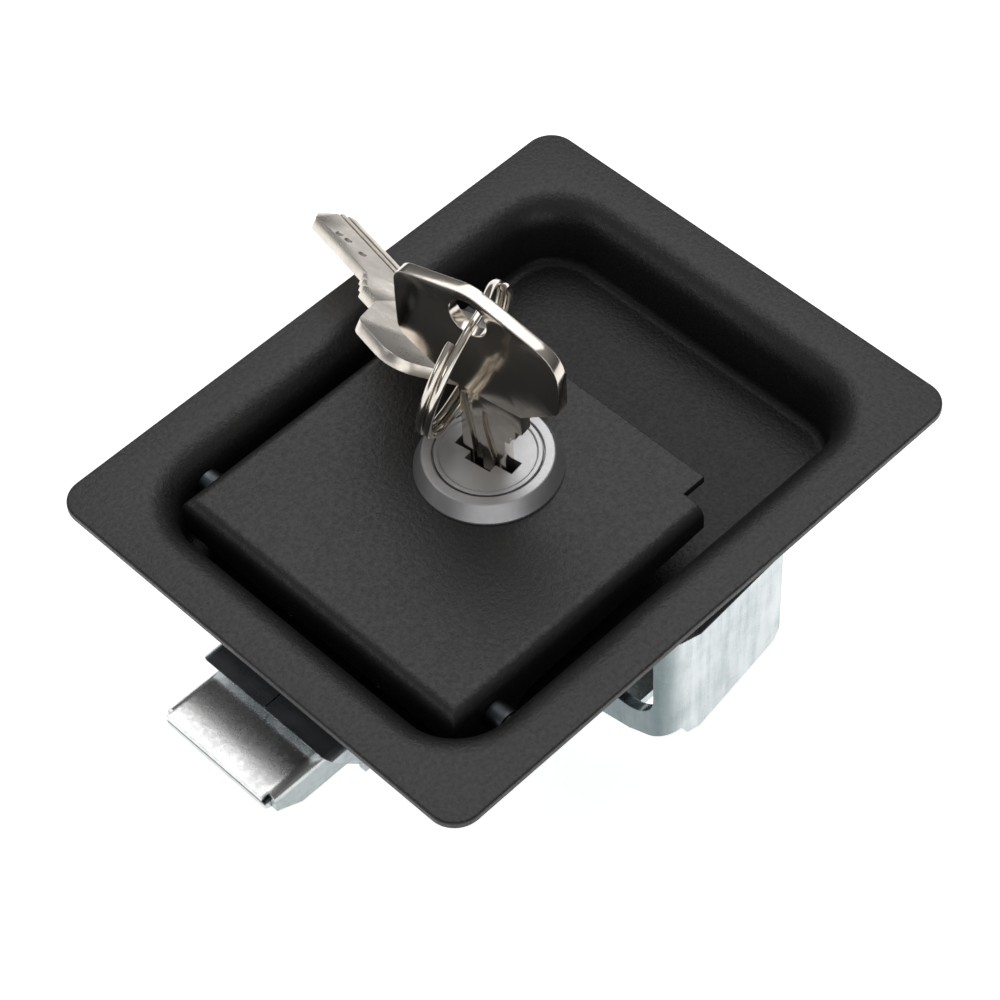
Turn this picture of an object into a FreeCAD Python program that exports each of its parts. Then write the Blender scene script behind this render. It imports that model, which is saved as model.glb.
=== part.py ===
import FreeCAD, Part, Sketcher
import math
import os
import re
from FreeCAD import Placement, Rotation, Vector

# Paddle latch for a flat door panel. Millimetres. +Z points out of the door, the bolt points
# to -X, and the origin is the middle of the flange's underside, where the panel lies.

# Face plate and pan
plate_length = 118.0
plate_width = 95.0
plate_corner = 5.0
pan_sheet = 1.5
rim_width = 10.0
pan_depth = 14.0
pan_corner = 10.0
rim_roll = 4.0
floor_bend = 1.8

# Paddle
paddle_sheet = 1.5
paddle_drop = 0.5
paddle_end_gap = 3.1
paddle_side_gap = 3.7
paddle_reach = 18.5
paddle_bend = 2.5
skirt_depth = 8.0
skirt_front_depth = 5.0
notch_length = 5.0
notch_width = 4.6
ear_depth = 4.5
ear_front = 5.0
ear_back = 3.5
ear_slope = 2.6

# Pivot
pivot_inset = 11.5
pivot_below_face = 6.5
pin_radius = 2.0
pin_fit = 0.05
swing_clearance = 0.08
pin_head_radius = 2.4
pin_head = 0.4
spacer_wall = 0.5
spacer_play = 0.15

# Pull arms
arm_sheet = 2.0
arm_spread = 23.2
arm_web_front = 8.0
arm_web_back = 5.0
arm_front = 1.2
arm_back = 2.3
arm_length = 17.0
arm_waist = 4.5
arm_slot_width = 5.0
arm_slot_back = 9.0
arm_slot_front = 10.3
guide_slot_back = 5.5

# Paddle spring
twist_wire = 1.2
twist_turns = 4.0
twist_inset = 6.8
twist_leg = 11.0
twist_play = 0.3
twist_top_gap = 0.05
twist_turn_gap = 0.1

# Bolt housing
guide_sheet = 1.5
guide_width = 31.2
guide_front = 57.3
guide_back = 1.5
guide_bend = 2.0
guide_slope_run = 7.3
guide_slope_drop = 8.3
cover_sheet = 1.5
cover_inset = 5.0
ear_span = 46.0
ear_start = 33.0
ear_end = 19.0
guide_seam = 0.3
guide_seam_length = 16.0

# Rivets
rivet_radius = 2.0
rivet_head_radius = 3.5
rivet_head = 1.5
rivet_spacing = 7.0
rivet_span = 39.0

# Bolt
bolt_play = 0.3
bolt_sheet = 1.2
bolt_height = 7.0
bolt_tip = 68.5
bolt_tail = 20.8
bolt_bend = 2.2
nose_height = 3.2
ramp_length = 6.8
ramp_sheet = 1.5
ramp_foot = 12.0
nose_lap = 0.2
nose_groove = 0.5
ramp_play = 0.1
tip_notch = 1.7
tip_notch_depth = 1.5
bolt_travel = 10.0
window_play = 0.3

# Bolt spring and its guide
spring_wire = 0.9
spring_radius = 2.8
spring_turns = 6.0
spring_play = 0.4
guide_rod_radius = 1.6
guide_rod_length = 30.0
guide_rod_head_radius = 2.6
guide_rod_head = 1.0
rod_clearance = 0.3

# Lock
lock_inset = 4.2
plug_radius = 9.1
plug_clearance = 0.08
barrel_radius = 11.0
bezel_radius = 12.7
bezel_base = 0.6
bezel_height = 3.6
bezel_top_radius = 11.3
barrel_depth = 9.5
barrel_fit = 0.1
plug_rim = 0.25
plug_rim_width = 0.7
plug_groove = 0.25
plug_groove_depth = 0.8
washer_sheet = 0.6
washer_radius = 13.6
nut_flats = 27.0
nut_height = 3.5
tail_size = 6.0
tail_length = 1.9
cam_sheet = 1.5
cam_gap = 0.3
cam_radius = 6.0
cam_reach = 14.5
cam_width = 8.0
screw_radius = 1.5
screw_head_radius = 3.6
screw_head = 1.0
keyway_width = 2.8
keyway_length = 11.8
keyway_side_width = 6.2
keyway_side_length = 5.2
keyway_floor = 0.5

# Keys
key_turn = 8.3
key_sheet = 2.2
key_blade = 27.7
key_shoulder = 15.6
key_blade_left = 4.3
key_blade_right = 4.5
key_tip = 1.6
key_step_near = 5.6
key_step_mid = 6.9
key_step_far = 8.3
key_bitting = 8.6
key_bit_high = 6.7
key_ledge = 4.6
key_neck = 6.0
key_head_left = 16.3
key_head_right = 16.0
key_head_low = 5.8
key_left_side = 20.4
key_right_side = 17.4
key_head_top = 23.6
key_head_corner = 3.0
key_slope_corner = 6.5
key_crown_corner = 8.0
key_groove = 0.6
key_groove_depth = 0.4
key_groove_near = 1.5
key_groove_far = 2.8
key_groove_top = 3.0
key_hole_radius = 3.75
key_hole_rise = 17.9
key_hole_offset = 1.5

# Where the spare key lies
spare_x = 5.35
spare_y = 27.38
spare_z = 11.63

# Key ring
ring_wire = 1.5
ring_x = -3.53
ring_y = 4.86
ring_z = 23.7
ring_radius = 13.4
ring_lap = 0.04

# Clamp bracket
clamp_sheet = 2.0
clamp_face = 6.0
clamp_gap = 2.5
clamp_reach = 22.6
clamp_foot = 43.0
clamp_bend = 4.0
clamp_window_side = 3.0
clamp_window_foot = 8.5
clamp_window_corner = 7.0
clamp_shoulder_run = 17.0
clamp_shoulder_rise = 6.5
clamp_top = 11.0
clamp_dip = 2.7
clamp_dip_at = 8.5
clamp_leg_start = 4.0
clamp_heel_top = 6.3
clamp_heel = 3.5
clamp_heel_run = 1.5
clamp_leg_low = 8.5
clamp_leg_foot = 2.3
clamp_leg_rise = 6.0
clamp_leg_tip = 1.3
clamp_leg_over = 1.0
clamp_shelf_half = 24.0
clamp_shelf = 20.5

# Bracket studs
stud_radius = 2.5
stud_spacing = 30.0
stud_inset = 8.0
stud_length = 36.0
stud_collar_radius = 4.0
stud_collar = 0.8
stud_clearance = 0.3
flat_washer_radius = 5.0
flat_washer = 1.0
small_nut_flats = 8.0
small_nut = 4.0

# Worked out from the sizes above
well_length = plate_length - 2 * rim_width - 2 * pan_sheet
well_width = plate_width - 2 * rim_width - 2 * pan_sheet
tub_length = well_length + 2 * pan_sheet
tub_width = well_width + 2 * pan_sheet
tub_corner = pan_corner + pan_sheet
rim_root = rim_roll - pan_sheet
floor_root = floor_bend + pan_sheet
floor_top = pan_sheet - pan_depth
floor_under = floor_top - pan_sheet
paddle_back = paddle_end_gap - well_length / 2
paddle_half = well_width / 2 - paddle_side_gap
paddle_top = pan_sheet - paddle_drop
paddle_under = paddle_top - paddle_sheet
skirt_foot = paddle_top - skirt_depth
skirt_front_foot = paddle_top - skirt_front_depth
notch_back = paddle_reach - notch_length
pivot_x = pivot_inset - well_length / 2
pivot_z = pan_sheet - pivot_below_face
ear_foot = pivot_z - ear_depth
twist_place = paddle_half - twist_inset
pin_hole = pin_radius + pin_fit
swing_hole = pin_radius + swing_clearance
spacer_radius = pin_radius + spacer_wall
spacer_length = paddle_side_gap - 2 * spacer_play
arm_inner = arm_spread / 2 - arm_sheet
arm_middle = (arm_spread - arm_sheet) / 2
arm_foot = pivot_z - arm_length
arm_slot_start = pivot_x - arm_slot_back
arm_slot_end = pivot_x + arm_slot_front
guide_slot_start = pivot_x - guide_slot_back
guide_top = floor_under
guide_under = guide_top - guide_sheet
guide_half = guide_width / 2
guide_inner = guide_half - guide_sheet
bolt_top = guide_under - bolt_play
bolt_foot = bolt_top - bolt_height
bolt_half = guide_inner - 3 * bolt_play
bolt_inner = bolt_half - bolt_sheet
bolt_under = bolt_top - bolt_sheet
nose_foot = bolt_top - nose_height
ramp_knee = ramp_length - bolt_tip
cover_top = bolt_foot - bolt_play
guide_foot = cover_top - cover_sheet
window_back = pivot_x - arm_back - bolt_travel - window_play
window_front = pivot_x + arm_front + window_play
window_half = arm_sheet / 2 + window_play
rivet_middle = -(ear_start + ear_end) / 2
spring_axis = (bolt_under + bolt_foot) / 2
spring_mean = spring_radius - spring_wire / 2
rod_hole = guide_rod_radius + rod_clearance
lock_x = -lock_inset
lock_hole = barrel_radius + barrel_fit
plug_bore = plug_radius + plug_clearance
plug_face = paddle_top + bezel_height
barrel_foot = paddle_top - barrel_depth
plug_foot = barrel_foot + cam_gap
tail_foot = plug_foot - tail_length
cam_top = barrel_foot - cam_gap
cam_foot = cam_top - cam_sheet
twist_radius = paddle_under - pivot_z - twist_wire / 2 - twist_top_gap
washer_top = paddle_under
nut_top = washer_top - washer_sheet
key_shoulder_z = plug_face + key_shoulder
clamp_half = tub_width / 2 + clamp_gap + clamp_sheet
clamp_inner = clamp_half - clamp_sheet
clamp_window_half = clamp_half - clamp_window_side
clamp_shoulder = clamp_half - clamp_shoulder_run
clamp_shoulder_mid = clamp_half - clamp_shoulder_run / 2
clamp_x = -clamp_face
stud_foot = floor_under - stud_length
stud_hole = stud_radius + stud_clearance
washer_under_shelf = -clamp_foot - flat_washer
ring_pitch = ring_wire - ring_lap

sizes = {name: value for name, value in globals().items() if isinstance(value, float)}
doc = FreeCAD.newDocument("PaddleLatch")
sheet = doc.addObject("Spreadsheet::Sheet", "Sizes")
for row, (name, value) in enumerate(sizes.items(), 1):
    sheet.set("A%d" % row, name)
    sheet.set("B%d" % row, repr(value))
    sheet.setAlias("B%d" % row, name)
doc.recompute()

X = Vector(1, 0, 0)
Y = Vector(0, 1, 0)
Z = Vector(0, 0, 1)
TOLERANCE = 0.01
WIRE_SIDES = 6
RING_SIDES = 8
pieces = []


def value_of(formula):
    """The number that a formula of named sizes stands for, such as "plate_length / 2"."""
    total = 0.0
    for sign, term in re.findall(r"([+-]?)\s*([^+-]+)", formula):
        product = 1.0
        for operator, factor in re.findall(r"([*/]?)\s*([\w.]+)", term):
            number = float(factor) if factor[0].isdigit() else sizes[factor]
            product = product / number if operator == "/" else product * number
        total += -product if sign == "-" else product
    return total


def bind(target, prop, formula):
    """Ties a property to the spreadsheet."""
    target.setExpression(prop, re.sub(r"\b([a-z]\w+)", r"Sizes.\1", formula))


def new_body(label):
    body = doc.addObject("PartDesign::Body", label)
    body.Label = label
    pieces.append(body)
    return body


def new_sketch(body, plane, offset="0"):
    """A sketch on one of the body's own origin planes, moved along the plane's normal."""
    sketch = body.newObject("Sketcher::SketchObject", body.Label + "_sketch")
    origin_plane = next(f for f in body.Origin.OriginFeatures if f.Role == plane)
    sketch.AttachmentSupport = [(origin_plane, "")]
    sketch.MapMode = "FlatFace"
    bind(sketch, "AttachmentOffset.Base.z", offset)
    return sketch


def constrain(sketch, kind, *arguments):
    """Adds a constraint whose last argument is a formula."""
    formula = arguments[-1]
    index = sketch.addConstraint(Sketcher.Constraint(kind, *arguments[:-1], value_of(formula)))
    bind(sketch, "Constraints[%d]" % index, formula)


def draw_outline(sketch, points):
    """A closed outline of straight lines; each point is a pair of formulas."""
    places = [Vector(value_of(x), value_of(y), 0) for x, y in points]
    first = sketch.GeometryCount
    count = len(points)
    for i in range(count):
        sketch.addGeometry(Part.LineSegment(places[i], places[(i + 1) % count]))
    for i, (x, y) in enumerate(points):
        line = first + i
        following = first + (i + 1) % count
        sketch.addConstraint(Sketcher.Constraint("Coincident", line, 2, following, 1))
        constrain(sketch, "DistanceX", -1, 1, line, 1, x)
        constrain(sketch, "DistanceY", -1, 1, line, 1, y)


def draw_rectangle(sketch, left, right, low, high):
    draw_outline(sketch, [(left, low), (right, low), (right, high), (left, high)])


def draw_circle(sketch, x, y, radius):
    place = Vector(value_of(x), value_of(y), 0)
    circle = sketch.addGeometry(Part.Circle(place, Z, value_of(radius)))
    constrain(sketch, "Radius", circle, radius)
    constrain(sketch, "DistanceX", -1, 1, circle, 3, x)
    constrain(sketch, "DistanceY", -1, 1, circle, 3, y)


def draw_slot(sketch, left, right, y, width):
    """A round-ended slot along X; left and right are its ends."""
    radius = value_of(width) / 2
    middle = value_of(y)
    start = Vector(value_of(left) + radius, middle, 0)
    end = Vector(value_of(right) - radius, middle, 0)
    side = Vector(0, radius, 0)
    quarter = math.pi / 2
    first = sketch.addGeometry(Part.ArcOfCircle(Part.Circle(start, Z, radius), quarter, 3 * quarter))
    sketch.addGeometry(Part.ArcOfCircle(Part.Circle(end, Z, radius), -quarter, quarter))
    sketch.addGeometry(Part.LineSegment(start - side, end - side))
    sketch.addGeometry(Part.LineSegment(end + side, start + side))
    for arc, arc_end, line, line_end in ((0, 2, 2, 1), (1, 1, 2, 2), (1, 2, 3, 1), (0, 1, 3, 2)):
        pair = Sketcher.Constraint("Tangent", first + arc, arc_end, first + line, line_end)
        sketch.addConstraint(pair)
    sketch.addConstraint(Sketcher.Constraint("Horizontal", first + 2))
    constrain(sketch, "Radius", first, width + " / 2")
    constrain(sketch, "DistanceX", -1, 1, first, 3, left + " + " + width + " / 2")
    constrain(sketch, "DistanceX", -1, 1, first + 1, 3, right + " - " + width + " / 2")
    constrain(sketch, "DistanceY", -1, 1, first, 3, y)


def pad(sketch, length, reverse=False, both=False):
    body = sketch.getParentGeoFeatureGroup()
    feature = body.newObject("PartDesign::Pad", body.Label + "_pad")
    feature.Profile = sketch
    bind(feature, "Length", length)
    feature.Reversed = reverse
    feature.SideType = "Symmetric" if both else "One side"
    doc.recompute()
    return feature


def pocket(sketch, length=None, reverse=False, both=False):
    """Cuts a sketch to a depth, or right through; the body has to lose volume."""
    body = sketch.getParentGeoFeatureGroup()
    before = body.Shape.Volume
    feature = body.newObject("PartDesign::Pocket", body.Label + "_pocket")
    feature.Profile = sketch
    if length:
        bind(feature, "Length", length)
    else:
        feature.Type = "ThroughAll"
    feature.Reversed = reverse
    feature.SideType = "Symmetric" if both else "One side"
    doc.recompute()
    if not feature.Shape.Volume < before:
        raise RuntimeError(feature.Name + " cuts nothing")
    return feature


def fillet(body, radius, chosen):
    """Rounds the edges of the body's last feature for which chosen(edge) holds."""
    tip = body.Tip
    names = ["Edge%d" % i for i, edge in enumerate(tip.Shape.Edges, 1) if chosen(edge)]
    feature = body.newObject("PartDesign::Fillet", body.Label + "_fillet")
    feature.Base = (tip, names)
    bind(feature, "Radius", radius)
    doc.recompute()
    return feature


def lies(edge, x=None, y=None, z=None, wide_x=None, wide_y=None):
    """True when the whole edge lies at these coordinates; wide ones count on either side."""
    first, last = edge.ParameterRange
    spots = [edge.valueAt(first + (last - first) * share) for share in (0, 0.5, 1)]
    wanted = [(x, lambda p: p.x), (y, lambda p: p.y), (z, lambda p: p.z)]
    wanted += [(wide_x, lambda p: abs(p.x)), (wide_y, lambda p: abs(p.y))]
    return all(
        abs(measure(spot) - value) < TOLERANCE
        for value, measure in wanted
        if value is not None
        for spot in spots
    )


def upright(edge):
    first, last = edge.ParameterRange
    run = edge.valueAt(last) - edge.valueAt(first)
    return abs(run.x) < TOLERANCE and abs(run.y) < TOLERANCE


def inside(edge, half_x, half_y):
    box = edge.BoundBox
    reach_x = max(abs(box.XMin), abs(box.XMax))
    reach_y = max(abs(box.YMin), abs(box.YMax))
    return reach_x < half_x + TOLERANCE and reach_y < half_y + TOLERANCE


def cylinder(label, radius, height, place, rotation=Rotation()):
    part = doc.addObject("Part::Cylinder", label)
    bind(part, "Radius", radius)
    bind(part, "Height", height)
    part.Placement = Placement(place, rotation)
    return part


def join(label, parts):
    """One solid, or one group of equal solids, as a piece of its own."""
    joined = doc.addObject("Part::MultiFuse", label)
    joined.Shapes = parts
    joined.Label = label
    pieces.append(joined)
    return joined


def cut(base, tool, label=None):
    result = doc.addObject("Part::Cut", label or base.Name + "_cut")
    result.Base = base
    result.Tool = tool
    if label:
        result.Label = label
        pieces.append(result)
    return result


ACROSS = Rotation(X, -90)
ALONG = Rotation(Y, 90)


def make_pan():
    body = new_body("pan")
    plate = new_sketch(body, "XY_Plane")
    draw_rectangle(plate, "-plate_length / 2", "plate_length / 2", "-plate_width / 2", "plate_width / 2")
    pad(plate, "pan_sheet")
    fillet(body, "plate_corner", upright)
    tub = new_sketch(body, "XY_Plane")
    draw_rectangle(tub, "-tub_length / 2", "tub_length / 2", "-tub_width / 2", "tub_width / 2")
    pad(tub, "-floor_under", reverse=True)
    well = new_sketch(body, "XY_Plane", "pan_sheet")
    draw_rectangle(
        well, "-well_length / 2", "well_length / 2", "-well_width / 2", "well_width / 2"
    )
    pocket(well, "pan_depth")
    fillet(
        body,
        "pan_corner",
        lambda e: upright(e) and lies(e, wide_x=well_length / 2, wide_y=well_width / 2),
    )
    fillet(
        body,
        "tub_corner",
        lambda e: upright(e) and lies(e, wide_x=tub_length / 2, wide_y=tub_width / 2),
    )
    fillet(body, "rim_root", lambda e: lies(e, z=0) and inside(e, tub_length / 2, tub_width / 2))
    fillet(body, "floor_root", lambda e: lies(e, z=floor_under))
    fillet(
        body,
        "rim_roll",
        lambda e: lies(e, z=pan_sheet) and inside(e, well_length / 2, well_width / 2),
    )
    fillet(body, "floor_bend", lambda e: lies(e, z=floor_top))
    slots = new_sketch(body, "XY_Plane")
    for side in ("", "-"):
        draw_slot(slots, "arm_slot_start", "arm_slot_end", side + "arm_middle", "arm_slot_width")
    for end in ("+", "-"):
        for side in ("", "-"):
            x = "rivet_middle " + end + " rivet_spacing / 2"
            draw_circle(slots, x, side + "rivet_span / 2", "rivet_radius")
    pocket(slots)
    holes = new_sketch(body, "XZ_Plane")
    draw_circle(holes, "pivot_x", "pivot_z", "pin_hole")
    pocket(holes, both=True)


def make_paddle():
    body = new_body("paddle")
    side = new_sketch(body, "XZ_Plane")
    draw_outline(
        side,
        [
            ("paddle_back", "paddle_top"),
            ("paddle_reach", "paddle_top"),
            ("paddle_reach", "paddle_under"),
            ("notch_back", "paddle_under"),
            ("notch_back", "skirt_front_foot"),
            ("pivot_x + ear_front + ear_slope", "skirt_foot"),
            ("pivot_x + ear_front", "ear_foot"),
            ("pivot_x - ear_back", "ear_foot"),
            ("pivot_x - ear_back - ear_slope", "skirt_foot"),
            ("paddle_back", "skirt_foot"),
        ],
    )
    pad(side, "2 * paddle_half", both=True)
    fillet(
        body,
        "paddle_bend",
        lambda e: lies(e, z=paddle_top) and not lies(e, x=paddle_reach),
    )
    hollow = new_sketch(body, "XY_Plane", "paddle_under")
    draw_rectangle(
        hollow,
        "paddle_back + paddle_sheet",
        "paddle_reach",
        "paddle_sheet - paddle_half",
        "paddle_half - paddle_sheet",
    )
    pocket(hollow, "skirt_depth + ear_depth")
    fillet(
        body,
        "paddle_bend - paddle_sheet",
        lambda e: lies(e, z=paddle_under) and inside(e, paddle_reach + 50, paddle_half - paddle_sheet)
        and not lies(e, x=paddle_reach) and e.BoundBox.XMin < notch_back - 1,
    )
    notches = new_sketch(body, "XY_Plane", "paddle_top")
    for side in ("", "-"):
        draw_rectangle(
            notches,
            "notch_back",
            "paddle_reach",
            side + "paddle_half",
            "paddle_half - notch_width" if side == "" else "notch_width - paddle_half",
        )
    pocket(notches, "skirt_depth")
    lock = new_sketch(body, "XY_Plane", "paddle_top")
    draw_circle(lock, "lock_x", "0", "lock_hole")
    pocket(lock)
    holes = new_sketch(body, "XZ_Plane")
    draw_circle(holes, "pivot_x", "pivot_z", "swing_hole")
    pocket(holes, both=True)


def make_pivot():
    half = tub_width / 2
    shaft = cylinder(
        "pin_shaft", "pin_radius", "tub_width", Vector(pivot_x, -half, pivot_z), ACROSS
    )
    near = cylinder(
        "pin_near", "pin_head_radius", "pin_head", Vector(pivot_x, -half - pin_head, pivot_z), ACROSS
    )
    far = cylinder("pin_far", "pin_head_radius", "pin_head", Vector(pivot_x, half, pivot_z), ACROSS)
    join("pivot_pin", [shaft, near, far])
    rings = []
    for side in (-1, 1):
        start = paddle_half + spacer_play if side > 0 else -paddle_half - spacer_play - spacer_length
        place = Vector(pivot_x, start, pivot_z)
        tube = cylinder("spacer_tube", "spacer_radius", "spacer_length", place, ACROSS)
        bore = cylinder("spacer_bore", "pin_hole", "spacer_length", place, ACROSS)
        rings.append(cut(tube, bore))
    join("pivot_spacers", rings)


def make_pull_arms():
    body = new_body("pull_arms")
    side = new_sketch(body, "XZ_Plane")
    draw_outline(
        side,
        [
            ("pivot_x - arm_web_back", "paddle_under"),
            ("pivot_x + arm_web_front", "paddle_under"),
            ("pivot_x + arm_web_front", "paddle_under - arm_sheet"),
            ("pivot_x + arm_front", "pivot_z - arm_waist"),
            ("pivot_x + arm_front", "arm_foot"),
            ("pivot_x - arm_back", "arm_foot"),
            ("pivot_x - arm_back", "pivot_z - arm_waist"),
            ("pivot_x - arm_web_back", "pivot_z"),
        ],
    )
    pad(side, "arm_spread", both=True)
    gap = new_sketch(body, "XY_Plane", "paddle_under - arm_sheet")
    draw_rectangle(
        gap,
        "pivot_x - arm_web_back",
        "pivot_x + arm_web_front",
        "-arm_inner",
        "arm_inner",
    )
    pocket(gap, "arm_length + pivot_below_face")
    holes = new_sketch(body, "XZ_Plane")
    draw_circle(holes, "pivot_x", "pivot_z", "swing_hole")
    pocket(holes, both=True)
    fillet(
        body,
        "arm_front",
        lambda e: lies(e, z=arm_foot) and abs(e.valueAt(e.FirstParameter).y - e.valueAt(e.LastParameter).y) > 1,
    )


def coil(radius, wire, turns, length):
    """A round-wire coil along +Z whose wire stays within the given length."""
    helix = Part.makeHelix((length - wire) / turns, length - wire, radius)
    step = 2 * math.pi / WIRE_SIDES
    corners = [
        Vector(radius + wire / 2 * math.cos(i * step), 0, wire / 2 * math.sin(i * step))
        for i in range(WIRE_SIDES)
    ]
    section = Part.makePolygon(corners + corners[:1])
    spring = Part.Wire(helix.Edges).makePipeShell([section], True, True)
    spring.translate(Vector(0, 0, wire / 2))
    return spring


def make_paddle_spring():
    """A torsion spring round the pin, with a leg under the paddle and one down to the floor."""
    length = (twist_turns + 1) * (twist_wire + twist_turn_gap)
    start = twist_place - length / 2
    end = start + length - twist_wire
    spring = coil(twist_radius, twist_wire, twist_turns, length)
    spring.Placement = Placement(Vector(pivot_x, start, pivot_z), Rotation(X, -90) * Rotation(Z, 90))
    top = Vector(pivot_x, start + twist_wire / 2, pivot_z + twist_radius)
    upper = Part.makeCylinder(twist_wire / 2, twist_leg, top, X)
    bottom = Vector(pivot_x, end + twist_wire / 2, pivot_z - twist_radius)
    drop = bottom.z - floor_top - twist_wire / 2 - twist_play
    slant = Vector(twist_leg, 0, -drop)
    lower = Part.makeCylinder(twist_wire / 2, slant.Length, bottom, slant)
    part = doc.addObject("Part::Feature", "paddle_spring")
    part.Label = "paddle_spring"
    part.Shape = spring.fuse([upper, lower])
    pieces.append(part)


def make_housing():
    body = new_body("bolt_housing")
    side = new_sketch(body, "XZ_Plane")
    draw_outline(
        side,
        [
            ("-guide_front", "guide_top"),
            ("guide_back", "guide_top"),
            ("guide_back", "guide_foot"),
            ("guide_slope_run - guide_front", "guide_foot"),
            ("guide_slope_run - guide_front", "guide_top - guide_slope_drop"),
        ],
    )
    pad(side, "guide_width", both=True)
    fillet(
        body,
        "guide_bend",
        lambda e: lies(e, z=guide_top, wide_y=guide_half),
    )
    channel = new_sketch(body, "XY_Plane", "guide_under")
    draw_rectangle(channel, "-guide_front", "guide_back - guide_sheet", "-guide_inner", "guide_inner")
    pocket(channel, "guide_under - guide_foot")
    relief = new_sketch(body, "XY_Plane", "guide_under")
    draw_rectangle(relief, "-ear_start", "-ear_end", "-guide_half", "guide_half")
    pocket(relief, "guide_under - guide_foot")
    ears = new_sketch(body, "XY_Plane", "guide_under")
    draw_rectangle(ears, "-ear_start", "-ear_end", "-ear_span / 2", "ear_span / 2")
    pad(ears, "guide_sheet")
    slots = new_sketch(body, "XY_Plane")
    for side in ("", "-"):
        draw_slot(slots, "guide_slot_start", "arm_slot_end", side + "arm_middle", "arm_slot_width")
    for end in ("+", "-"):
        for side in ("", "-"):
            x = "rivet_middle " + end + " rivet_spacing / 2"
            draw_circle(slots, x, side + "rivet_span / 2", "rivet_radius")
    pocket(slots)
    seam = new_sketch(body, "XY_Plane", "guide_top")
    draw_rectangle(
        seam, "-guide_front", "guide_seam_length - guide_front", "-guide_seam / 2", "guide_seam / 2"
    )
    pocket(seam, "guide_sheet")
    rod = new_sketch(body, "YZ_Plane")
    draw_circle(rod, "0", "spring_axis", "guide_rod_radius")
    pocket(rod, reverse=True)
    cover = new_body("housing_cover")
    plate = new_sketch(cover, "XY_Plane", "guide_foot")
    draw_rectangle(
        plate,
        "guide_slope_run + cover_inset - guide_front",
        "guide_back - guide_sheet",
        "-guide_inner",
        "guide_inner",
    )
    pad(plate, "cover_sheet")


def make_rivets():
    rivets = []
    for x in (rivet_middle - rivet_spacing / 2, rivet_middle + rivet_spacing / 2):
        for y in (-rivet_span / 2, rivet_span / 2):
            low = Vector(x, y, guide_under)
            shank = cylinder("rivet_shank", "rivet_radius", "pan_sheet + guide_sheet", low)
            head = cylinder("rivet_head", "rivet_head_radius", "rivet_head", Vector(x, y, floor_top))
            tail = cylinder(
                "rivet_tail", "rivet_head_radius", "rivet_head", low - Vector(0, 0, rivet_head)
            )
            rivet = doc.addObject("Part::MultiFuse", "rivet")
            rivet.Shapes = [shank, head, tail]
            rivets.append(rivet)
    join("housing_rivets", rivets)


def make_bolt():
    body = new_body("bolt")
    side = new_sketch(body, "XZ_Plane")
    draw_outline(
        side,
        [
            ("-bolt_tip", "bolt_top"),
            ("-bolt_tail", "bolt_top"),
            ("-bolt_tail", "bolt_foot"),
            ("ramp_knee", "bolt_foot"),
            ("-bolt_tip", "nose_foot"),
        ],
    )
    pad(side, "2 * bolt_half", both=True)
    fillet(body, "bolt_bend", lambda e: lies(e, z=bolt_top, wide_y=bolt_half))
    hollow = new_sketch(body, "XY_Plane", "bolt_under")
    draw_rectangle(
        hollow, "-bolt_tip", "-bolt_tail - bolt_sheet", "-bolt_inner", "bolt_inner"
    )
    pocket(hollow, "bolt_height")
    notches = new_sketch(body, "XY_Plane", "bolt_top")
    draw_rectangle(
        notches, "-bolt_tip", "tip_notch_depth - bolt_tip", "bolt_half - tip_notch", "bolt_half"
    )
    draw_rectangle(
        notches, "-bolt_tip", "tip_notch_depth - bolt_tip", "-bolt_half", "tip_notch - bolt_half"
    )
    pocket(notches, "bolt_height")
    windows = new_sketch(body, "XY_Plane", "bolt_top")
    draw_rectangle(
        windows, "window_back", "window_front", "arm_middle - window_half", "arm_middle + window_half"
    )
    draw_rectangle(
        windows, "window_back", "window_front", "-arm_middle - window_half", "window_half - arm_middle"
    )
    pocket(windows, "bolt_sheet")
    rod = new_sketch(body, "YZ_Plane", "-bolt_tail - bolt_sheet / 2")
    draw_circle(rod, "0", "spring_axis", "rod_hole")
    pocket(rod, "3 * bolt_sheet", both=True)


def make_bolt_ramp():
    body = new_body("bolt_ramp")
    side = new_sketch(body, "XZ_Plane")
    draw_outline(
        side,
        [
            ("nose_lap + nose_groove - bolt_tip", "bolt_under"),
            ("nose_lap - bolt_tip", "bolt_under - nose_groove"),
            ("nose_lap - bolt_tip", "nose_foot - nose_lap / 2"),
            ("ramp_knee", "bolt_foot"),
            ("ramp_knee + ramp_foot", "bolt_foot"),
            ("ramp_knee + ramp_foot", "bolt_foot + ramp_sheet"),
            ("ramp_knee + ramp_sheet / 4", "bolt_foot + ramp_sheet"),
            ("nose_lap - bolt_tip + ramp_sheet", "nose_foot + ramp_sheet / 4"),
            ("nose_lap - bolt_tip + ramp_sheet", "bolt_under"),
        ],
    )
    pad(side, "2 * bolt_inner - 2 * ramp_play", both=True)


def make_bolt_spring():
    length = bolt_tail + guide_back - guide_sheet - 2 * spring_play
    spring = doc.addObject("Part::Feature", "bolt_spring")
    spring.Label = "bolt_spring"
    spring.Shape = coil(spring_mean, spring_wire, spring_turns, length)
    spring.Placement = Placement(Vector(spring_play - bolt_tail, 0, spring_axis), ALONG)
    pieces.append(spring)
    wall = guide_back
    rod = cylinder(
        "rod_shaft",
        "guide_rod_radius",
        "guide_rod_length",
        Vector(wall - guide_rod_length, 0, spring_axis),
        ALONG,
    )
    head = cylinder(
        "rod_head", "guide_rod_head_radius", "guide_rod_head", Vector(wall, 0, spring_axis), ALONG
    )
    join("spring_guide", [rod, head])


def revolve(body, sketch):
    feature = body.newObject("PartDesign::Revolution", body.Label + "_turn")
    feature.Profile = sketch
    feature.ReferenceAxis = (sketch, ["V_Axis"])
    feature.Angle = 360
    doc.recompute()
    return feature


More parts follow.
